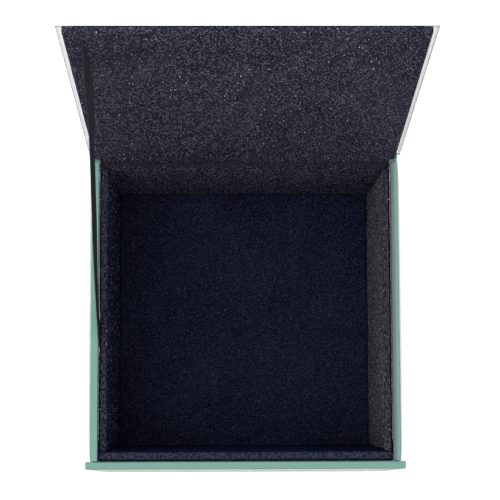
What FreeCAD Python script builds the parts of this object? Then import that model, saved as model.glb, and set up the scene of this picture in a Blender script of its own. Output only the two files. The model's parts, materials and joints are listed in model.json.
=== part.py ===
"""Trinket box: bevelled clear glass bonded into an open box, lined with velvet-covered boards.
The bevelled glass lid carries a velvet pad, turns on a cloth hinge and is held open by a ribbon.
Millimetres; +Z up, the front at -Y, the origin under the middle of the base."""

import FreeCAD
import Part
import math
import os

from FreeCAD import Vector

# Glass box
side_span = 102.4
box_depth = 104.8
rim_height = 72.0
glass_thickness = 3.6
edge_thickness = 2.4
bevel_width = 6.35
edge_round = 0.4
front_pane_overhang = 0.4
bond_thickness = 0.15

# Felt under the base
felt_thickness = 1.0
felt_inset = 2.0

# Velvet and the boards that line the walls
velvet_thickness = 0.4
wall_board_thickness = 0.9
front_board_thickness = 1.8
wall_drop = 2.0
wall_corner_gap = 0.15

# Padded floor
floor_board_thickness = 1.2
floor_foam_thickness = 2.0
floor_gap = 0.3
foam_edge_round = 0.8

# Lid
lid_inset = 0.25
lid_pad_margin = 1.85
lid_tip_margin = 0.35
lid_board_thickness = 1.0
lid_paper_thickness = 0.2
lid_board_edge_round = 0.3
lid_rest_gap = 0.1
lid_heel_gap = 0.6
lid_open_degrees = 100.5

# Cloth hinge
hinge_side_gap = 0.2
hinge_cloth_thickness = 0.3
hinge_cloth_clearance = 0.1
hinge_base_leaf = 14.0
hinge_lid_leaf = 6.0

# Ribbon stay
ribbon_width = 6.35
ribbon_thickness = 0.25
ribbon_clearance = 0.15
ribbon_side_inset = 7.35
ribbon_tip_inset = 4.25
ribbon_base_share = 0.6
ribbon_tab = 18.0
slit_clearance = 0.3

# Cutting tools run past the surface that they open by this much
overrun = 1.0

x_axis = Vector(1, 0, 0)
z_axis = Vector(0, 0, 1)
middle = Vector(0, 0, 0)

half_span = side_span / 2
half_depth = box_depth / 2
inner_half_span = half_span - glass_thickness
inner_half_depth = half_depth - glass_thickness
pane_height = rim_height - felt_thickness
floor_seat = felt_thickness + glass_thickness
wall_height = rim_height - wall_drop - floor_seat
wall_thickness = wall_board_thickness + 2 * velvet_thickness
front_thickness = front_board_thickness + 2 * velvet_thickness
end_gap = hinge_cloth_thickness + hinge_cloth_clearance
side_gap = ribbon_thickness + ribbon_clearance
hinge_y = inner_half_depth
hinge_point = Vector(0, hinge_y, rim_height)


def block(x0, x1, y0, y1, z0, z1):
    return Part.makeBox(x1 - x0, y1 - y0, z1 - z0, Vector(x0, y0, z0))


def polyhedron(rings):
    """A solid from stacked rings of points with flat faces between them."""
    def face(points):
        return Part.Face(Part.makePolygon(points + points[:1]))

    faces = [face(rings[0]), face(rings[-1])]
    for low, high in zip(rings, rings[1:]):
        for i in range(len(low)):
            j = (i + 1) % len(low)
            faces.append(face([low[i], low[j], high[j], high[i]]))
    solid = Part.Solid(Part.Shell(faces))
    if solid.Volume < 0:
        solid.reverse()
    return solid


def rectangle(width, length, z):
    x, y = width / 2, length / 2
    return [Vector(-x, -y, z), Vector(x, -y, z), Vector(x, y, z), Vector(-x, y, z)]


def bevelled_pane(width, length):
    """Flat inner face at z 0; the outer face is bevelled on all four sides and the cut edge is rounded."""
    pane = polyhedron([
        rectangle(width, length, 0),
        rectangle(width, length, edge_thickness),
        rectangle(width - 2 * bevel_width, length - 2 * bevel_width, glass_thickness),
    ])
    touches_cut_edge = []
    for edge in pane.Edges:
        on_rim = [
            abs(abs(v.X) - width / 2) < edge_round / 2 and abs(abs(v.Y) - length / 2) < edge_round / 2
            for v in edge.Vertexes
        ]
        if all(on_rim):
            touches_cut_edge.append(edge)
    return pane.makeFillet(edge_round, touches_cut_edge)


def upright_pane(width, inner_face, turn):
    """A wall pane with its bevelled face outwards, turned about the box's vertical axis from the front."""
    pane = bevelled_pane(width, pane_height)
    pane.rotate(middle, x_axis, 90)
    pane.translate(Vector(0, -inner_face, felt_thickness + pane_height / 2))
    pane.rotate(middle, z_axis, turn)
    return pane


# Wall panes: the front one runs past the side panes and the back one ends level with their flat edges
side_pane_width = box_depth - 2 * (glass_thickness + bond_thickness)
front_pane = upright_pane(side_span + 2 * front_pane_overhang, inner_half_depth, 0)
back_pane = upright_pane(2 * (inner_half_span + edge_thickness), inner_half_depth, 180)
left_pane = upright_pane(side_pane_width, inner_half_span, -90)
right_pane = upright_pane(side_pane_width, inner_half_span, 90)

# Clear adhesive in the four upright butt joints
bonds = []
for side in (-1, 1):
    for end in (-1, 1):
        x0, x1 = sorted((side * inner_half_span, side * (inner_half_span + edge_thickness)))
        y0, y1 = sorted((end * inner_half_depth, end * (inner_half_depth - bond_thickness)))
        bonds.append(block(x0 + edge_round, x1 - edge_round, y0, y1,
                           felt_thickness + edge_round, rim_height - edge_round))
corner_bonds = Part.makeCompound(bonds)

# Base pane set between the walls, and the felt that the box stands on
base_pane = block(-inner_half_span, inner_half_span, -inner_half_depth, inner_half_depth,
                  felt_thickness, floor_seat)
base_felt = block(felt_inset - half_span, half_span - felt_inset, felt_inset - half_depth,
                  half_depth - felt_inset, 0, felt_thickness)


def lined_board(length, board, turn, outer_face):
    """A wall board and the velvet drawn over its top and ends; the outer side faces the glass."""
    thickness = board + 2 * velvet_thickness
    crown = thickness / 2
    shoulder = wall_height - crown
    x0 = -length / 2
    core_x0 = x0 + velvet_thickness
    core = block(core_x0, -core_x0, velvet_thickness, velvet_thickness + board, 0, shoulder)

    def at(y, z):
        return Vector(x0, y, z)

    sides = Part.makePolygon([at(thickness, shoulder), at(thickness, 0), at(0, 0), at(0, shoulder)])
    fold = Part.Arc(at(0, shoulder), at(crown, wall_height), at(thickness, shoulder)).toShape()
    outline = Part.Wire(sides.Edges + [fold])
    cover = Part.Face(outline).extrude(Vector(length, 0, 0)).cut(core)
    for shape in (core, cover):
        shape.translate(Vector(0, -outer_face, floor_seat))
        shape.rotate(middle, z_axis, turn)
    return core, cover


# Wall lining: the front and back boards run across, the side boards stand between them
end_outer = inner_half_depth - end_gap
side_outer = inner_half_span - side_gap
lining_front = -(end_outer - front_thickness)
lining_back = end_outer - wall_thickness
lining_side = side_outer - wall_thickness
end_length = 2 * side_outer
side_length = lining_back - lining_front - 2 * wall_corner_gap
side_shift = Vector(0, (lining_back + lining_front) / 2, 0)
front_board, front_velvet = lined_board(end_length, front_board_thickness, 0, end_outer)
back_board, back_velvet = lined_board(end_length, wall_board_thickness, 180, end_outer)
left_board, left_velvet = lined_board(side_length, wall_board_thickness, -90, side_outer)
right_board, right_velvet = lined_board(side_length, wall_board_thickness, 90, side_outer)
for shape in (left_board, left_velvet, right_board, right_velvet):
    shape.translate(side_shift)


def round_rim(solid, z, radius):
    """Rounds the edges that lie at one height."""
    level = [e for e in solid.Edges if all(abs(v.Z - z) < radius / 2 for v in e.Vertexes)]
    return solid.makeFillet(radius, level)


# Padded floor: board, foam and a velvet cover drawn over both
pad_x = lining_side - floor_gap
pad_y0 = lining_front + floor_gap
pad_y1 = lining_back - floor_gap
board_top = floor_seat + floor_board_thickness
foam_top = board_top + floor_foam_thickness
floor_top = foam_top + velvet_thickness
core_x = pad_x - velvet_thickness
core_y0 = pad_y0 + velvet_thickness
core_y1 = pad_y1 - velvet_thickness
floor_board = block(-core_x, core_x, core_y0, core_y1, floor_seat, board_top)
floor_foam = block(-core_x, core_x, core_y0, core_y1, board_top, foam_top)
floor_foam = round_rim(floor_foam, foam_top, foam_edge_round)
floor_cover = block(-pad_x, pad_x, pad_y0, pad_y1, floor_seat, floor_top)
floor_cover = round_rim(floor_cover, floor_top, foam_edge_round + velvet_thickness)
floor_velvet = floor_cover.cut(floor_board).cut(floor_foam)

# Lid, built shut over the box and then opened: the velvet pad is bonded under the glass
pad_face = rim_height + lid_rest_gap
lid_board_bottom = pad_face + velvet_thickness
lid_board_top = lid_board_bottom + lid_board_thickness
lid_glass_bottom = lid_board_top + lid_paper_thickness
lid_heel = hinge_y - lid_heel_gap
lid_tip = lid_inset - half_depth
lid_half_span = half_span - lid_inset
lid_pane = bevelled_pane(2 * lid_half_span, lid_heel - lid_tip)
lid_pane.translate(Vector(0, (lid_heel + lid_tip) / 2, lid_glass_bottom))
lid_x = lid_half_span - lid_pad_margin
lid_y0 = lid_tip + lid_tip_margin
lid_core_x = lid_x - velvet_thickness
lid_core_y0 = lid_y0 + velvet_thickness
lid_core_y1 = lid_heel - velvet_thickness
lid_board = block(-lid_core_x, lid_core_x, lid_core_y0, lid_core_y1, lid_board_bottom, lid_board_top)
lid_board = round_rim(lid_board, lid_board_bottom, lid_board_edge_round)
lid_paper = block(-lid_core_x, lid_core_x, lid_core_y0, lid_core_y1, lid_board_top, lid_glass_bottom)
lid_cover = block(-lid_x, lid_x, lid_y0, lid_heel, pad_face, lid_glass_bottom)
lid_cover = round_rim(lid_cover, pad_face, lid_board_edge_round + velvet_thickness)
lid_velvet = lid_cover.cut(lid_board).cut(lid_paper)


open_turn = math.radians(lid_open_degrees)
up_lid = Vector(0, -math.cos(open_turn), math.sin(open_turn))
off_lid = Vector(0, math.sin(open_turn), math.cos(open_turn))


def on_open_lid(x, along, above):
    """A point of the open lid: along it from the hinge, and above what is the rim's plane when it is shut."""
    return hinge_point + x_axis * x + up_lid * along + off_lid * above


# Ribbon stay: straight from behind the left lining to a slit in the lid's velvet
ribbon_base_x = side_gap / 2 - inner_half_span
ribbon_lid_x = ribbon_side_inset - lid_half_span
ribbon_base_reach = ribbon_base_share * 2 * inner_half_depth
ribbon_lid_reach = hinge_y - lid_tip - ribbon_tip_inset
low_end = Vector(0, hinge_y - ribbon_base_reach, rim_height)
high_end = on_open_lid(0, ribbon_lid_reach, lid_rest_gap)
run = high_end - low_end
run_length = run.Length
run.normalize()
across = Vector(0, run.z, -run.y)
into_lid = run.getAngle(up_lid)
slit_length = ribbon_width / math.sin(into_lid)
tuck = velvet_thickness / math.sin(into_lid)
tip_along = run_length + tuck
clear_along = (ribbon_width * run.y - wall_drop) / run.z
slant = (ribbon_lid_x - ribbon_base_x) / (tip_along - clear_along)
stations = [(-ribbon_tab, ribbon_base_x), (clear_along, ribbon_base_x), (tip_along, ribbon_lid_x)]


def ribbon_edge(offset):
    return [low_end + run * along + Vector(x + offset, 0, 0) for along, x in stations]


outer_side = ribbon_edge(-ribbon_thickness / 2)
inner_side = ribbon_edge(ribbon_thickness / 2)
inner_side.reverse()
strip = outer_side + inner_side
ribbon_face = Part.Face(Part.makePolygon(strip + strip[:1]))
ribbon_stay = ribbon_face.extrude(across * ribbon_width)

# The ribbon stops on the lid's board, so what lies beyond the board's face is trimmed off
trim = block(-half_span, half_span, lid_tip, hinge_y, lid_board_bottom, rim_height + side_span)
slit_from = hinge_y - ribbon_lid_reach - tuck - slit_clearance
slit_to = hinge_y - ribbon_lid_reach + slit_length + slit_clearance
slit_half = ribbon_thickness / 2 + slit_clearance
slit_drift = slant * slit_length * math.cos(into_lid)
slit = block(ribbon_lid_x - slit_drift - slit_half, ribbon_lid_x + slit_half, slit_from, slit_to,
             pad_face - overrun, lid_board_bottom)
lid_velvet = lid_velvet.cut(slit)
for shape in (lid_pane, lid_board, lid_paper, lid_velvet, trim):
    shape.rotate(hinge_point, x_axis, -lid_open_degrees)
ribbon_stay = ribbon_stay.cut(trim)

# Cloth hinge: glued inside the back pane, folding at its top edge and glued to the face of the lid's pad
leaf_front = lid_rest_gap - hinge_cloth_thickness
leaf_x = hinge_side_gap - inner_half_span
base_end = rim_height - hinge_base_leaf
cloth_front = hinge_y - hinge_cloth_thickness
cloth_outline = [
    Vector(leaf_x, hinge_y, base_end),
    Vector(leaf_x, hinge_y, rim_height),
    on_open_lid(leaf_x, lid_heel_gap, lid_rest_gap),
    on_open_lid(leaf_x, hinge_lid_leaf, lid_rest_gap),
    on_open_lid(leaf_x, hinge_lid_leaf, leaf_front),
    Vector(leaf_x, cloth_front, rim_height),
    Vector(leaf_x, cloth_front, base_end),
]
hinge_cloth = Part.Face(Part.makePolygon(cloth_outline + cloth_outline[:1]))
hinge_cloth = hinge_cloth.extrude(x_axis * -2 * leaf_x)

nodes = {
    "front_pane": front_pane,
    "back_pane": back_pane,
    "left_pane": left_pane,
    "right_pane": right_pane,
    "corner_bonds": corner_bonds,
    "base_pane": base_pane,
    "base_felt": base_felt,
    "front_wall_board": front_board,
    "front_wall_velvet": front_velvet,
    "back_wall_board": back_board,
    "back_wall_velvet": back_velvet,
    "left_wall_board": left_board,
    "left_wall_velvet": left_velvet,
    "right_wall_board": right_board,
    "right_wall_velvet": right_velvet,
    "floor_board": floor_board,
    "floor_foam": floor_foam,
    "floor_velvet": floor_velvet,
    "lid_pane": lid_pane,
    "lid_backing_paper": lid_paper,
    "lid_board": lid_board,
    "lid_velvet": lid_velvet,
    "hinge_cloth": hinge_cloth,
    "ribbon_stay": ribbon_stay,
}

os.makedirs("parts", exist_ok=True)
for name, shape in nodes.items():
    shape.exportStep("parts/" + name + ".step")
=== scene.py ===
import json
import math

import bmesh
import bpy
from mathutils import Matrix, Vector


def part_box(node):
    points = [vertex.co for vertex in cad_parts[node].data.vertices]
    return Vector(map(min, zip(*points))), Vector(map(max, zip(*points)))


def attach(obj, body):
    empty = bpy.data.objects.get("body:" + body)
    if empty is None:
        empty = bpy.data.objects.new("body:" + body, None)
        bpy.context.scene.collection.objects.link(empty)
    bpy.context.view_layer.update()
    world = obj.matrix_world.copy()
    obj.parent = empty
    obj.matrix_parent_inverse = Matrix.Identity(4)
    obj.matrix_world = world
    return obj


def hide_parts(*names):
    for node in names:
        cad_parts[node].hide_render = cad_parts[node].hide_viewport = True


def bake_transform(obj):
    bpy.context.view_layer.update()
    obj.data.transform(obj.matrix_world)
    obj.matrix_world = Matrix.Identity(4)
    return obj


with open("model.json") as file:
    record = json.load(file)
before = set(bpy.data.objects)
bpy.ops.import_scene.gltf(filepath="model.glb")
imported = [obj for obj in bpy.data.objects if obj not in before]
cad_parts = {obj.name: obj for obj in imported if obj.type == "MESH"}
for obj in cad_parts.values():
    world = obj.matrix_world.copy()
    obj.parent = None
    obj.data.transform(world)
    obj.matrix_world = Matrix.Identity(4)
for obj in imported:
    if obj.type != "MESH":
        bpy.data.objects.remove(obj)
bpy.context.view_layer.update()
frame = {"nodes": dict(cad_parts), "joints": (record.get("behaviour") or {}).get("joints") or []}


# Wall panes
# Four panes of clear float glass stand on edge and butt together at the corners of the box. Each is
# cut to size, bevelled round its outer face and polished; the cut edges show the glass's own green.
class Finish:
    """A value of a finish: one socket of a material's nodes, so that a finish is written as sums."""

    def __init__(self, tree, socket):
        self.tree = tree
        self.socket = socket

    def node(self, kind, settings, sockets, output=0):
        """Adds any node: its settings are set first, then the values or links of its sockets."""
        added = self.tree.nodes.new(kind)
        for name, value in settings.items():
            setattr(added, name, value)
        for name, value in sockets.items():
            if isinstance(value, Finish):
                self.tree.links.new(value.socket, added.inputs[name])
            else:
                added.inputs[name].default_value = value
        return Finish(self.tree, added.outputs[output])

    def other(self, output):
        """Another output of the node that gave this value."""
        return Finish(self.tree, self.socket.node.outputs[output])

    def combine(self, operation, first, second):
        return self.node("ShaderNodeMath", {"operation": operation}, {0: first, 1: second})

    def __add__(self, other):
        return self.combine("ADD", self, other)

    def __sub__(self, other):
        return self.combine("SUBTRACT", self, other)

    def __rsub__(self, other):
        return self.combine("SUBTRACT", other, self)

    def __mul__(self, other):
        return self.combine("MULTIPLY", self, other)

    __radd__ = __add__
    __rmul__ = __mul__

    def ramp(self, low, high):
        """Rises smoothly from 0 at low to 1 at high."""
        return self.node("ShaderNodeMapRange", {"interpolation_type": "SMOOTHSTEP"},
                         {"Value": self, "From Min": low, "From Max": high})

    def tint(self, low, high):
        """A colour between two others, by this value."""
        return self.node("ShaderNodeMix", {"data_type": "RGBA"}, {0: self, 6: low, 7: high}, 2)

    def cloud(self, scale, detail):
        """Soft noise over this point, in patches of about one over the scale."""
        return self.node("ShaderNodeTexNoise", {}, {"Vector": self, "Scale": scale, "Detail": detail})

    def along(self, direction):
        """How far this point lies along a direction."""
        return self.node("ShaderNodeVectorMath", {"operation": "DOT_PRODUCT"},
                         {0: self, 1: direction}, "Value")

    def size(self):
        """This value without its sign."""
        return self.node("ShaderNodeMath", {"operation": "ABSOLUTE"}, {0: self})


def begin_finish(name):
    """A new material, and the point on the piece that its patterns read, in millimetres."""
    material = bpy.data.materials.new(name)
    material.use_nodes = True
    tree = material.node_tree
    tree.nodes.remove(tree.nodes["Principled BSDF"])
    place = Finish(tree, tree.nodes.new("ShaderNodeTexCoord").outputs["Object"])
    point = place.node("ShaderNodeVectorMath", {"operation": "SCALE"}, {0: place, "Scale": 1000})
    return material, point


def end_finish(material, shader):
    tree = material.node_tree
    tree.links.new(shader.socket, tree.nodes["Material Output"].inputs["Surface"])
    return material


def dress(node, material):
    frame["nodes"][node].material_slots[0].material = material


glass_index = 1.3
clear_body = (0.93, 0.97, 0.955, 1)
# Painted light: the bluer inner edge colour stands in for refraction deeper into the glass, and the
# grey one for a pane's inner face reflecting the light. The pale bevel tint, the bevel green shares and
# the bright end colour stand in for light seen through the bevels and caught on an end.
inner_painted_refraction = (0.157, 0.286, 0.268, 1)
outer_green = (0.148, 0.297, 0.234, 1)
painted_reflection_grey = (0.121, 0.13, 0.17, 1)
painted_bevel_pale = (0.75, 0.82, 0.79, 1)
painted_end_highlight = (0.97, 0.975, 0.975, 1)
end_painted_bevel_light = 0.9
side_painted_bevel_light = 1
green_from = 0.6
green_to = 1.8
bevel_fade_from = 2.4
bevel_fade_to = 3.4


def clear_glass(name, face, inner_face, inner_edge, outer_edge, painted_bevel_light, body=clear_body,
                bright_end=(0, 0, 0)):
    """Clear glass; the surfaces that turn away from its two large faces are cut edges. They show green,
    and towards the inner face the inner colour, which is painted light: bluer as painted refraction on
    most panes, grey as a painted reflection on the right pane. On the bevels, a few degrees off flat,
    painted green and a pale painted tint stand in for the light seen through them and fade away from
    the edge, but an end turned along bright_end gets a painted highlight, bright and clear."""
    material, point = begin_finish(name)
    facing = point.node("ShaderNodeTexCoord", {}, {}, "Normal")
    flatness = facing.along(face).size()
    cut_edge = 1 - flatness.ramp(0.45, 0.8)
    bevel = flatness.ramp(0.8, 0.95) * (1 - flatness.ramp(0.988, 0.996))
    handling = point.cloud(0.07, 3)
    clear = point.node("ShaderNodeBsdfPrincipled", {}, {
        "Base Color": body,
        "Roughness": handling.ramp(0.45, 0.8) * 0.02,
        "IOR": glass_index,
        "Transmission Weight": 1,
    })
    grinding = point.cloud(0.9, 2)
    depth = point.along(face).size()
    outwards = depth.ramp(inner_face + green_from, inner_face + green_to)
    fading = 1 - depth.ramp(inner_face + bevel_fade_from, inner_face + bevel_fade_to)
    lit_end = facing.along(bright_end)
    edge_tint = (bevel * 0.35).tint(outwards.tint(inner_edge, outer_edge), painted_bevel_pale)
    ground = point.node("ShaderNodeBsdfPrincipled", {}, {
        "Base Color": lit_end.ramp(0.6, 0.9).tint(edge_tint, painted_end_highlight),
        "Roughness": grinding * 0.25 + 0.35,
        "Specular IOR Level": 0.2,
    })
    green = cut_edge + bevel * fading * (1 - lit_end.ramp(0.05, 0.15)) * painted_bevel_light
    return end_finish(material, point.node("ShaderNodeMixShader", {}, {0: green, 1: clear, 2: ground}))


end_inner_face = 1000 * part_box("back_pane")[0].y
side_inner_face = 1000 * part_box("right_pane")[0].x
end_glass = clear_glass("end_pane_glass", (0, 1, 0), end_inner_face, inner_painted_refraction, outer_green,
                        end_painted_bevel_light)
left_glass = clear_glass("left_pane_glass", (1, 0, 0), side_inner_face, inner_painted_refraction, outer_green,
                         side_painted_bevel_light)
# The right pane's edges are painted grey towards the inner face: a painted reflection of the light.
right_glass = clear_glass("right_pane_glass", (1, 0, 0), side_inner_face, painted_reflection_grey, outer_green,
                          side_painted_bevel_light)
dress("front_pane", end_glass)
dress("back_pane", end_glass)
dress("left_pane", left_glass)
dress("right_pane", right_glass)


# Corner bonds
# A thin film of clear adhesive, cured under a lamp, fills the four upright butt joints between the
# panes. It is as clear as the glass but for a few fine bubbles.
material, point = begin_finish("clear_bond")
bubbles = point.node("ShaderNodeTexVoronoi", {}, {"Vector": point, "Scale": 0.6}, "Distance")
bond = point.node("ShaderNodeBsdfPrincipled", {}, {
    "Base Color": bubbles.ramp(0.05, 0.2).tint((0.9, 0.93, 0.92, 1), (0.8, 0.9, 0.86, 1)),
    "Roughness": 0.3 - bubbles.ramp(0.05, 0.25) * 0.24,
    "IOR": 1.48,
    "Transmission Weight": 1,
})
dress("corner_bonds", end_finish(material, bond))


# Base pane
# A plain pane of the same glass is set between the four walls, bonded round its edges. The lining
# covers it inside and felt underneath.
dress("base_pane", clear_glass("base_pane_glass", (0, 0, 1), 0, inner_painted_refraction, outer_green, 0))


# Base felt
# A sheet of thin black felt, cut a little smaller than the box with rounded corners and glued under
# the base so that the glass doesn't scratch a table.
felt_corner = 0.002
felt_edge = 0.0003
felt_clearance = Vector((0, 0, 0.00003))
smooth_below = math.radians(50)


def start_block(name, low, high):
    """Adds a block between two corners and opens it for editing."""
    bpy.ops.object.select_all(action="DESELECT")
    bpy.ops.mesh.primitive_cube_add(size=1, location=(low + high) / 2)
    piece = bpy.context.object
    piece.name = piece.data.name = name
    piece.scale = high - low
    bpy.ops.object.transform_apply(location=True, rotation=True, scale=True)
    bpy.ops.object.mode_set(mode="EDIT")
    return piece


def pick(kind, test):
    """Selects those faces or edges of the mesh being edited that pass a test."""
    modes = {"faces": "FACE", "edges": "EDGE"}
    bpy.ops.mesh.select_mode(type=modes[kind])
    bpy.ops.mesh.select_all(action="DESELECT")
    data = bpy.context.object.data
    mesh = bmesh.from_edit_mesh(data)
    for item in getattr(mesh, kind):
        item.select = bool(test(item))
    mesh.select_flush_mode()
    bmesh.update_edit_mesh(data)


def edge_span(edge, axis):
    return abs((edge.verts[0].co - edge.verts[1].co)[axis])


def refine(low, high, spacing):
    """Divides the long edges of the block being edited into steps of about one spacing."""
    longest_kept = 1.5 * spacing
    for axis in range(3):
        cuts = round((high - low)[axis] / spacing) - 1
        if cuts > 0:
            pick("edges", lambda edge: edge_span(edge, axis) > longest_kept)
            bpy.ops.mesh.subdivide(number_cuts=cuts)


def shape_with(piece, kind, settings):
    """Adds a modifier to a piece and applies it."""
    bpy.context.view_layer.objects.active = piece
    modifier = piece.modifiers.new(kind.title(), kind)
    for name, value in settings.items():
        setattr(modifier, name, value)
    bpy.ops.object.modifier_apply(modifier=modifier.name)


def lay_of_cloth(piece, patch, height):
    """Lets a cloth surface rise and fall by a fraction of a millimetre, as glued cloth does."""
    texture = bpy.data.textures.new(piece.name + "_lay", "CLOUDS")
    texture.noise_scale = patch
    shape_with(piece, "DISPLACE", {"texture": texture, "texture_coords": "LOCAL", "strength": height})


def finish_piece(piece, material, body, node):
    """Smooths a finished mesh, gives it its material and fixes it to its body in its node's place."""
    bpy.ops.object.select_all(action="DESELECT")
    piece.select_set(True)
    bpy.context.view_layer.objects.active = piece
    bpy.ops.object.shade_smooth_by_angle(angle=smooth_below)
    piece.data.materials.clear()
    piece.data.materials.append(material)
    if body:
        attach(piece, body)
    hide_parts(node)


felt_low, felt_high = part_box("base_felt")
felt_high = felt_high - felt_clearance
felt_thickness = felt_high.z - felt_low.z
felt = start_block("felt_sheet", felt_low, felt_high)
pick("edges", lambda edge: edge_span(edge, 2) > felt_thickness / 2)
bpy.ops.mesh.bevel(offset=felt_corner, segments=5, affect="EDGES")
pick("faces", lambda face: abs(face.normal.z) > 0.5)
bpy.ops.mesh.bevel(offset=felt_edge, segments=2, affect="EDGES")
bpy.ops.object.mode_set(mode="OBJECT")

material, point = begin_finish("black_felt")
fibres = point.cloud(1.8, 4)
tufts = point.cloud(0.35, 2)
nap = point.node("ShaderNodeBump", {}, {"Strength": 0.6, "Distance": 0.0003, "Height": fibres + tufts})
felt_cloth = point.node("ShaderNodeBsdfPrincipled", {}, {
    "Base Color": (fibres * 0.7 + tufts * 0.3).ramp(0.3, 0.7).tint((0.008, 0.008, 0.009, 1),
                                                                   (0.024, 0.024, 0.026, 1)),
    "Roughness": fibres * 0.2 + 0.8,
    "Specular IOR Level": 0.15,
    "Sheen Weight": 0.2,
    "Sheen Roughness": 0.6,
    "Normal": nap,
})
finish_piece(felt, end_finish(material, felt_cloth), "box", "base_felt")


# Wall boards
# Grey pasteboard, cut to the walls' sizes, stiffens the lining. Each board is hidden in its velvet
# and held by the others where they meet at the corners.
def pressed_board(name):
    material, point = begin_finish(name)
    pulp = point.cloud(0.8, 4)
    flecks = point.node("ShaderNodeTexVoronoi", {}, {"Vector": point, "Scale": 0.5}, "Distance")
    fleck = 1 - flecks.ramp(0.05, 0.16)
    grey = pulp.ramp(0.3, 0.7).tint((0.25, 0.235, 0.215, 1), (0.33, 0.31, 0.285, 1))
    rough = point.node("ShaderNodeBump", {}, {"Strength": 0.3, "Distance": 0.0001, "Height": pulp})
    board = point.node("ShaderNodeBsdfPrincipled", {}, {
        "Base Color": fleck.tint(grey, (0.16, 0.15, 0.14, 1)),
        "Roughness": pulp * 0.15 + 0.8,
        "Specular IOR Level": 0.2,
        "Normal": rough,
    })
    return end_finish(material, board)


greyboard = pressed_board("greyboard")
for node in ("front_wall_board", "back_wall_board", "left_wall_board", "right_wall_board"):
    dress(node, greyboard)


# Wall lining
# Black velvet with fine silver glitter in its pile is drawn over each wall board, round the top and
# the two ends, and glued. The front and back linings run across; the side linings stand between them.
cloth_thickness = 0.0003
cloth_lay = 0.00012
lay_patch = 0.011
wall_spacing = 0.0016
wall_round = 0.0008
rim_bead = 0.0005
rim_bead_reach = 0.006
# The strip of painted shadow beside the glass is this wide, in millimetres; the back wall has none.
gap_shade_width = 0.9
pile_reach = 0.0003
hinge_side_reach = 0.00008
tab_slope = 0.8
tab_front = (-0.0145, -0.0125)
tab_back = (-0.002, 0.003)
tab_trail = (0.01, 0.024)
tab_press = 0.85
trail_press = 0.2
silver_dust = (0.2, 0.196, 0.232, 1)
warm_flake = (0.75, 0.66, 0.58, 1)
cool_flake = (0.78, 0.82, 0.9, 1)
# The near-black of the painted shadow in the gap between the lining and the glass.
painted_gap_shadow = (0.003, 0.004, 0.006, 1)


def glitter_velvet(name, deep, raised, dusting, glinting, pile_grain=2.4, dust_grain=2.5, crest_light_and_shade=None,
                   crest_edge=0, inward=(0, 0, 0)):
    """Black velvet: a blue-black pile, brushed upwards and dusted with fine glitter, with a few glitter
    flakes painted silver as painted glints. More and larger painted glints show on an inward face. The
    crest of a rim gets painted light and shade on its tufts, and a strip beside the glass, with the
    outer side, is painted dark as painted shadow in the gap."""
    material, point = begin_finish(name)
    facing = point.node("ShaderNodeTexCoord", {}, {}, "Normal")
    inside = facing.along(inward).ramp(0.4, 0.6)
    nap = point.node("ShaderNodeVectorMath", {"operation": "MULTIPLY"}, {0: point, 1: (1, 1, 0.4)})
    brushed = point.cloud(0.06, 2)
    pile = nap.cloud(pile_grain, 3)
    shade = pile * 0.8 + brushed * 0.2
    cloth = shade.ramp(0.32, 0.68).tint(deep, raised)
    dust_cell = nap.node("ShaderNodeTexVoronoi", {}, {"Vector": nap, "Scale": dust_grain}, "Distance")
    dust_chance = dust_cell.other("Color").along((1, 0, 0))
    dust = dust_chance.ramp(0.25, 1) * (1 - dust_cell.ramp(0.15, 0.65))
    dusted = (dust * dusting).tint(cloth, silver_dust)
    if crest_light_and_shade:
        # Painted light and shade: the upward faces of a rim are painted their own crest tone per wall,
        # a painted highlight where the rim catches the light, with fewer glints on it.
        tufts = point.cloud(1.3, 4)
        # Painted shadow: the part of the rim beside the glass, and the lining's outer side, are painted
        # near black as the shade in the gap against the pane.
        glass_gap_shade = point.along(inward).size().ramp(crest_edge, crest_edge + 0.6)
        painted_crest_mask = facing.along((0, 0, 1)).ramp(0.05, 0.6) * (1 - glass_gap_shade)
        tufted_crest_light = (tufts.ramp(0.36, 0.64) * 0.75 + dust * 0.6).tint(*crest_light_and_shade)
        dusted = glass_gap_shade.tint(painted_crest_mask.tint(dusted, tufted_crest_light), painted_gap_shadow)
        glinting = (1 - painted_crest_mask * 0.8) * glinting
    # The glints are painted: silver flakes in the base colour, denser and larger on an inward face,
    # stand in for glitter catching the light.
    flake_cell = nap.node("ShaderNodeTexVoronoi", {}, {"Vector": nap, "Scale": 1.1}, "Distance")
    flake_chance = flake_cell.other("Color").along((0, 1, 0))
    flake_warmth = flake_cell.other("Color").along((0, 0, 1))
    glint = 1 - flake_cell.ramp(0.08 + inside * 0.07, 0.2 + inside * 0.15)
    glitter_glint = flake_chance.ramp(0.86 - inside * 0.31, 0.98 - inside * 0.13) * glint * glinting
    silver = flake_warmth.tint(warm_flake, cool_flake)
    relief = point.node("ShaderNodeBump", {}, {"Strength": 0.4, "Distance": 0.0002, "Height": pile})
    velvet = point.node("ShaderNodeBsdfPrincipled", {}, {
        "Base Color": glitter_glint.tint(dusted, silver),
        "Roughness": 0.85 - glitter_glint * 0.4,
        "Specular IOR Level": 0.02,
        "Sheen Weight": 0.002,
        "Sheen Roughness": 0.4,
        "Sheen Tint": (0.9, 0.9, 1, 1),
        "Normal": relief,
    })
    return end_finish(material, velvet)


def velvet_cover(name, low, high, rounding, spacing, open_side, backing):
    """Velvet drawn over a board: a block open on the side that is glued down, with every edge pressed
    round but those against its backing."""
    cover = start_block(name, low, high)
    pick("faces", lambda face: face.normal.dot(open_side) > 0.5)
    bpy.ops.mesh.delete(type="ONLY_FACE")
    flat_side = max(corner.dot(backing) for corner in (low, high))
    pick("edges", lambda edge: not edge.is_boundary
         and min(vert.co.dot(backing) for vert in edge.verts) < flat_side - rounding)
    bpy.ops.mesh.bevel(offset=rounding, segments=4, affect="EDGES", clamp_overlap=True)
    refine(low, high, spacing)
    bpy.ops.object.mode_set(mode="OBJECT")
    return cover


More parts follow.
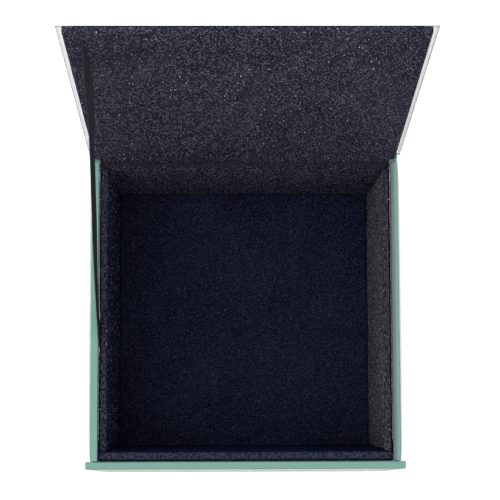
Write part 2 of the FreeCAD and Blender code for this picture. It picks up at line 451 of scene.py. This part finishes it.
def smooth_step(value, low, high):
    share = min(1, max(0, (value - low) / (high - low)))
    return share * share * (3 - 2 * share)


def pressed_by_ribbon(place, top):
    """How far the ribbon's glued end, which slopes down behind the left lining, presses its pile in."""
    along_ribbon = place.y - tab_slope * (place.z - top)
    behind = smooth_step(along_ribbon, *tab_front)
    over_tab = 1 - smooth_step(along_ribbon, *tab_back)
    trailing = 1 - smooth_step(place.y, *tab_trail)
    return pile_reach * behind * max(tab_press * over_tab, trail_press * trailing)


upwards = Vector((0, 0, 1))
walls = {
    "front": (Vector((0, -1, 0)), pile_reach, pile_reach),
    "back": (Vector((0, 1, 0)), hinge_side_reach, pile_reach),
    "left": (Vector((-1, 0, 0)), pile_reach, 0),
    "right": (Vector((1, 0, 0)), pile_reach, 0),
}
# Each wall's tones are lit and shaded copies of one velvet: the right wall is painted lighter as
# painted light from the left, the left and front walls darker as painted shade, and the dusting,
# glinting and crest tones per wall are set the same way.
wall_cloth_lit_and_shaded = {
    "front": {"deep": (0.002, 0.006, 0.042, 1), "raised": (0.01, 0.02, 0.085, 1),
              "crest_light_and_shade": ((0.006, 0.007, 0.015, 1), (0.041, 0.046, 0.073, 1)),
              "dust_grain": 1.6, "dusting": 0.05, "glinting": 0.2},
    "back": {"deep": (0.002, 0.0035, 0.014, 1), "raised": (0.013, 0.019, 0.054, 1),
             "crest_light_and_shade": ((0.006, 0.006, 0.01, 1), (0.024, 0.024, 0.033, 1)),
             "dust_grain": 2.2, "dusting": 1.7, "glinting": 0.7},
    "left": {"deep": (0.001, 0.003, 0.02, 1), "raised": (0.011, 0.022, 0.09, 1),
             "crest_light_and_shade": ((0.003, 0.0035, 0.009, 1), (0.042, 0.044, 0.064, 1)),
             "dust_grain": 1.6, "dusting": 0.7, "glinting": 1},
    "right": {"deep": (0.008, 0.0085, 0.014, 1), "raised": (0.08, 0.082, 0.102, 1),
              "crest_light_and_shade": ((0.008, 0.008, 0.011, 1), (0.053, 0.053, 0.066, 1)),
              "dust_grain": 1.6, "dusting": 2.3, "glinting": 0.8},
}
for wall, (outward, reach, end_reach) in walls.items():
    node = wall + "_wall_velvet"
    low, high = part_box(node)
    size = high - low
    thickness = min(size.x, size.y)
    sideways = outward.cross(upwards)
    for direction, growth in ((outward, reach), (sideways, end_reach), (-sideways, end_reach)):
        for axis in range(2):
            low[axis] += growth * min(0, direction[axis])
            high[axis] += growth * max(0, direction[axis])
    lining = velvet_cover(wall + "_lining", low, high, wall_round, wall_spacing, -upwards, outward)
    outer_face = max(corner.dot(outward) for corner in (low, high))
    if wall in ("left", "right"):
        for vertex in lining.data.vertices:
            if vertex.co.dot(outward) < outer_face - thickness / 2:
                bead = rim_bead * smooth_step(vertex.co.z, high.z - rim_bead_reach, high.z - wall_round)
                vertex.co -= outward * bead
    if wall == "left":
        for vertex in lining.data.vertices:
            if vertex.co.x < low.x + thickness / 2:
                vertex.co.x += pressed_by_ribbon(vertex.co, high.z)
    lay_of_cloth(lining, lay_patch, cloth_lay)
    shape_with(lining, "SOLIDIFY", {"thickness": cloth_thickness, "offset": -1})
    gap_shade = 0 if wall == "back" else gap_shade_width
    velvet = glitter_velvet(wall + "_velvet", crest_edge=1000 * outer_face - gap_shade,
                            inward=tuple(-outward), **wall_cloth_lit_and_shaded[wall])
    finish_piece(lining, velvet, "box", node)


# Floor board and foam
# A grey board with a thin sheet of soft grey foam glued on it makes the padded floor. The foam's top
# edges are pressed round by the velvet that is drawn over them.
foam_round = 0.0008
foam_spacing = 0.003
dress("floor_board", greyboard)

foam_low, foam_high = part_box("floor_foam")
foam = start_block("foam_pad", foam_low, foam_high)
pick("edges", lambda edge: all(vert.co.z > foam_low.z + foam_round for vert in edge.verts))
bpy.ops.mesh.bevel(offset=foam_round, segments=3, affect="EDGES")
refine(foam_low, foam_high, foam_spacing)
bpy.ops.object.mode_set(mode="OBJECT")

material, point = begin_finish("soft_foam")
pores = point.node("ShaderNodeTexVoronoi", {}, {"Vector": point, "Scale": 1.6}, "Distance")
pitted = point.node("ShaderNodeBump", {}, {"Strength": 0.7, "Distance": 0.0003, "Height": pores})
foam_skin = point.node("ShaderNodeBsdfPrincipled", {}, {
    "Base Color": pores.ramp(0.1, 0.5).tint((0.3, 0.3, 0.285, 1), (0.55, 0.55, 0.53, 1)),
    "Roughness": pores * 0.1 + 0.85,
    "Specular IOR Level": 0.2,
    "Normal": pitted,
})
finish_piece(foam, end_finish(material, foam_skin), "box", "floor_foam")


# Floor cover
# Velvet is drawn over the foam and the board and glued underneath, and the pad is pressed down into
# the lined box. The foam gives it a slight crown and rounded edges.
floor_round = 0.0006
floor_spacing = 0.0016
floor_crown = 0.0005
floor_frames = 20
floor_pressure = 4
floor_reach = 0.00022

floor_low, floor_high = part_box("floor_velvet")
floor_low -= Vector((floor_reach, floor_reach, 0))
floor_high += Vector((floor_reach, floor_reach, 0))
floor_cover = velvet_cover("floor_cover", floor_low, floor_high, floor_round, floor_spacing, -upwards,
                           -upwards)
at_rest = [vertex.co.copy() for vertex in floor_cover.data.vertices]
glued = floor_cover.vertex_groups.new(name="glued")
shoulder = floor_high.z - floor_round
below = [vertex.index for vertex in floor_cover.data.vertices if vertex.co.z < shoulder]
glued.add(below, 1, "REPLACE")
cloth = floor_cover.modifiers.new("Cloth", "CLOTH")
cloth.settings.vertex_group_mass = "glued"
cloth.settings.use_pressure = True
cloth.settings.uniform_pressure_force = floor_pressure
cloth.settings.effector_weights.gravity = 0
for step in range(1, floor_frames + 1):
    bpy.context.scene.frame_set(step)
bpy.ops.object.modifier_apply(modifier="Cloth")
bpy.context.scene.frame_set(1)
moves = [vertex.co - rest for vertex, rest in zip(floor_cover.data.vertices, at_rest)]
share = min(1, floor_crown / max(move.length for move in moves))
for vertex, rest, move in zip(floor_cover.data.vertices, at_rest, moves):
    vertex.co = rest + move * share
lay_of_cloth(floor_cover, lay_patch, cloth_lay)
shape_with(floor_cover, "SOLIDIFY", {"thickness": cloth_thickness, "offset": -1})
# The floor's painted glints are few, as glitter seen face-on catches little light.
floor_velvet = glitter_velvet("floor_velvet", (0.0014, 0.002, 0.0085, 1), (0.0086, 0.0112, 0.0285, 1),
                              0.15, 0.16, pile_grain=1.7)
finish_piece(floor_cover, floor_velvet, "box", "floor_velvet")


# Lid pane
# A pane of the same glass, bevelled on all four sides of its outer face, closes over the rim of the
# box. It is cut a quarter of a millimetre smaller than the box on each side.
lid_pad_back = 0.0017
hinge = frame["joints"][0]
hinge_point = Vector(hinge["pos_m"])
open_turn = math.radians(hinge["range_deg"][1])
up_lid = Vector((0, -math.cos(open_turn), math.sin(open_turn)))
off_lid = Vector((0, math.sin(open_turn), math.cos(open_turn)))
lid_inner_face = 1000 * (hinge_point.dot(off_lid) + lid_pad_back)
# The lid's cut edges are painted pale grey instead of the glass's green, as painted light seen in them,
# and its free end, turned along up_lid, is painted nearly white as a painted highlight.
lid_painted_pale_inner = (0.62, 0.64, 0.68, 1)
lid_painted_pale_outer = (0.45, 0.445, 0.46, 1)
lid_body = (0.955, 0.965, 0.98, 1)
lid_painted_bevel_light = 0.5
lid_glass = clear_glass("lid_pane_glass", tuple(off_lid), lid_inner_face, lid_painted_pale_inner,
                        lid_painted_pale_outer, lid_painted_bevel_light, lid_body, tuple(up_lid))
dress("lid_pane", lid_glass)


# Lid board and backing paper
# A grey board stiffens the pad inside the lid. Black paper on its back hides it behind the glass, so
# the closed lid looks black from above with a clear rim.
dress("lid_board", greyboard)
material, point = begin_finish("black_paper")
sizing = point.cloud(0.9, 4)
strands = point.cloud(0.12, 2)
tooth = point.node("ShaderNodeBump", {}, {"Strength": 0.15, "Distance": 0.0001, "Height": sizing})
paper = point.node("ShaderNodeBsdfPrincipled", {}, {
    "Base Color": (sizing * 0.6 + strands * 0.4).ramp(0.3, 0.7).tint((0.014, 0.014, 0.017, 1),
                                                                     (0.026, 0.026, 0.03, 1)),
    "Roughness": sizing * 0.2 + 0.6,
    "Specular IOR Level": 0.3,
    "Normal": tooth,
})
dress("lid_backing_paper", end_finish(material, paper))


# Lid cover
# The same velvet is drawn over the lid's board, and the pad is bonded to the inside of the pane with
# a narrow margin of clear glass left round it.
lid_heel_gap = 0.0006
lid_pad_reach = 0.1006
lid_pad_half = 0.0491
lid_pad_face = 0.0001
lid_round = 0.0005
lid_spacing = 0.0016

lid_low = hinge_point + Vector((-lid_pad_half, -lid_pad_reach, lid_pad_face))
lid_high = hinge_point + Vector((lid_pad_half, -lid_heel_gap, lid_pad_back))
lid_cover = velvet_cover("lid_cover", lid_low, lid_high, lid_round, lid_spacing, upwards, upwards)
lay_of_cloth(lid_cover, lay_patch, cloth_lay)
shape_with(lid_cover, "SOLIDIFY", {"thickness": cloth_thickness, "offset": -1})
lid_cover.matrix_world = (Matrix.Translation(hinge_point) @ Matrix.Rotation(-open_turn, 4, "X")
                          @ Matrix.Translation(-hinge_point))
bpy.ops.object.select_all(action="DESELECT")
lid_cover.select_set(True)
bpy.ops.object.transform_apply(location=True, rotation=True, scale=True)
# The lid's tones are painted lighter and less blue than the floor's and walls': a painted sheen of the
# velvet seen at a slant, with more painted glints.
lid_velvet = glitter_velvet("lid_velvet", (0.0035, 0.0037, 0.009, 1), (0.0265, 0.0265, 0.043, 1),
                            0.66, 0.9)
finish_piece(lid_cover, lid_velvet, "lid", "lid_velvet")


# Cloth hinge
# A strip of the same velvet is glued inside the back pane and to the face of the lid's pad. It folds
# along the top edge of the pane and is all that the lid turns on.
strip_thickness = 0.00027
strip_spacing = 0.0008
strip_fold = 0.0012
strip_lift = 0.0001
strip_feather = 0.0002
strip_feather_from = 0.003

strip_low, strip_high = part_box("hinge_cloth")
strip_high.y = strip_low.y + strip_thickness
strip = start_block("hinge_strip", strip_low, strip_high)
refine(strip_low, strip_high, strip_spacing)
bpy.ops.object.mode_set(mode="OBJECT")
lean = math.pi / 2 - open_turn
strip_front = strip_low.y + strip_thickness / 2
for vertex in strip.data.vertices:
    rise = min(1, max(0, (vertex.co.z - hinge_point.z + strip_fold / 2) / strip_fold))
    lift = strip_lift * rise
    if vertex.co.y < strip_front:
        feathered = smooth_step(vertex.co.z, strip_high.z - strip_feather_from, strip_high.z)
        lift += strip_feather * feathered
    arm = vertex.co - hinge_point
    vertex.co = hinge_point + Matrix.Rotation(lean * rise, 3, "X") @ arm + off_lid * lift
finish_piece(strip, lid_velvet, None, "hinge_cloth")
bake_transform(strip)


# Ribbon stay
# A narrow black woven ribbon holds the lid open. Its lower end is glued between the left pane and the
# lining, and its upper end goes through a slit in the lid's velvet. It is taut, with a slight twist.
ribbon_width = 0.00635
ribbon_thickness = 0.00025
ribbon_tab = 0.018
ribbon_base_x = -0.0474
ribbon_lid_x = -0.0436
ribbon_base_y = -0.00976
ribbon_lid_reach = 0.0967
ribbon_sink = 0.0002
ribbon_clear_run = 0.0026
ribbon_twist = 0.0007
ribbon_flare = 0.00045
ribbon_tip_ease = 0.85
twist_stretch = (0.005, 0.05)
flare_stretch = (0.077, 0.095)
spread_stretch = (0.09, 0.104)
tip_stretch = (0.101, 0.112)
ribbon_sway = 0.00025
ribbon_rows = 0.002
rib_pitch = 0.5

ribbon_foot = Vector((0, ribbon_base_y, hinge_point.z))
ribbon_head = hinge_point + up_lid * ribbon_lid_reach + off_lid * (lid_pad_face + ribbon_sink)
run_length = (ribbon_head - ribbon_foot).length
run = (ribbon_head - ribbon_foot).normalized()
across = Vector((0, run.z, -run.y))
cut_back = 1 / math.tan(run.angle(up_lid))

ribbon_low = Vector((-ribbon_thickness / 2, 0, 0))
ribbon_high = Vector((ribbon_thickness / 2, ribbon_width, run_length + ribbon_tab))
ribbon = start_block("stay_ribbon", ribbon_low, ribbon_high)
refine(ribbon_low, ribbon_high, ribbon_rows)
bpy.ops.object.mode_set(mode="OBJECT")
for vertex in ribbon.data.vertices:
    side, over, up = vertex.co
    reach = run_length - over * cut_back + ribbon_tab
    up = up / ribbon_high.z * reach - ribbon_tab
    climbed = max(0, up - ribbon_clear_run) / (run_length - ribbon_clear_run)
    slant = (ribbon_lid_x - ribbon_base_x) * climbed
    twisted = ribbon_twist * smooth_step(up, *twist_stretch)
    flared = ribbon_flare * smooth_step(up, *flare_stretch)
    turned = (twisted + flared) * (1 - ribbon_tip_ease * smooth_step(up, *tip_stretch))
    spread = ribbon_flare * smooth_step(up, *spread_stretch)
    sway = -ribbon_sway * math.sin(2 * math.pi * max(0, up) / run_length)
    shift = slant + sway + turned * over / ribbon_width - spread * (1 - over / ribbon_width)
    vertex.co = ribbon_foot + run * up + across * over + Vector((ribbon_base_x + side + shift, 0, 0))

material, point = begin_finish("black_ribbon")
rib_phase = point.along(tuple(run)) * (2 * math.pi / rib_pitch)
ribs = point.node("ShaderNodeMath", {"operation": "SINE"}, {0: rib_phase})
threads = point.cloud(2.5, 2)
weave = point.node("ShaderNodeBump", {}, {"Strength": 0.5, "Distance": 0.0001, "Height": ribs})
ribbon_cloth = point.node("ShaderNodeBsdfPrincipled", {}, {
    "Base Color": (ribs * 0.2 + threads).ramp(0.2, 0.8).tint((0.006, 0.0065, 0.011, 1),
                                                             (0.022, 0.023, 0.034, 1)),
    "Roughness": threads * 0.25 + 0.4,
    "Specular IOR Level": 0.15,
    "Sheen Weight": 0.03,
    "Sheen Roughness": 0.4,
    "Normal": weave,
})
finish_piece(ribbon, end_finish(material, ribbon_cloth), None, "ribbon_stay")
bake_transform(ribbon)


# Studio
# A pale floor, a soft white surround and one large soft lamp overhead, a little to the left, light the
# open box. The camera looks down into it from above the front edge.
sweep_size = 6
lamp_size = 0.5
lamp_power = 5
lamp_place = Vector((-0.14, -0.05, 0.85))
lamp_aim = Vector((0, 0, 0.05))
floor_glow = 0.42
horizon_light = 1.05
zenith_dimming = 0.3
dimming_rise = (0.02, 0.25)
camera_place = (-0.00419, -0.02908, 0.55746)
camera_turn = (0.09971, -0.01159, -0.00306)
camera_lens = 107.86
camera_sensor = 36

bpy.ops.object.select_all(action="DESELECT")
bpy.ops.mesh.primitive_plane_add(size=sweep_size)
sweep = bpy.context.object
sweep.name = "pale_floor"
material, point = begin_finish("pale_floor")
paint = point.node("ShaderNodeBsdfPrincipled", {}, {
    "Base Color": point.cloud(0.004, 2).tint((0.84, 0.84, 0.84, 1), (0.87, 0.87, 0.87, 1)),
    "Roughness": 0.8,
    "Emission Color": (1, 1, 1, 1),
    "Emission Strength": floor_glow,
})
sweep.data.materials.append(end_finish(material, paint))

bpy.ops.object.light_add(type="AREA", location=lamp_place)
lamp = bpy.context.object
lamp.rotation_euler = (lamp_aim - lamp_place).to_track_quat("-Z", "Y").to_euler()
lamp.data.size = lamp_size
lamp.data.energy = lamp_power
lamp.visible_glossy = False

surround = bpy.data.worlds.new("soft_surround")
surround.use_nodes = True
sky_nodes = surround.node_tree.nodes
sky = Finish(surround.node_tree, sky_nodes.new("ShaderNodeTexCoord").outputs["Generated"])
brightness = horizon_light - sky.along((0, 0, 1)).ramp(*dimming_rise) * zenith_dimming
sky_nodes["Background"].inputs["Color"].default_value = (1, 1, 1, 1)
surround.node_tree.links.new(brightness.socket, sky_nodes["Background"].inputs["Strength"])
bpy.context.scene.world = surround
bpy.context.scene.view_settings.view_transform = "Standard"

bpy.ops.object.camera_add(location=camera_place, rotation=camera_turn)
camera = bpy.context.object
camera.data.lens = camera_lens
camera.data.sensor_width = camera_sensor
bpy.context.scene.camera = camera
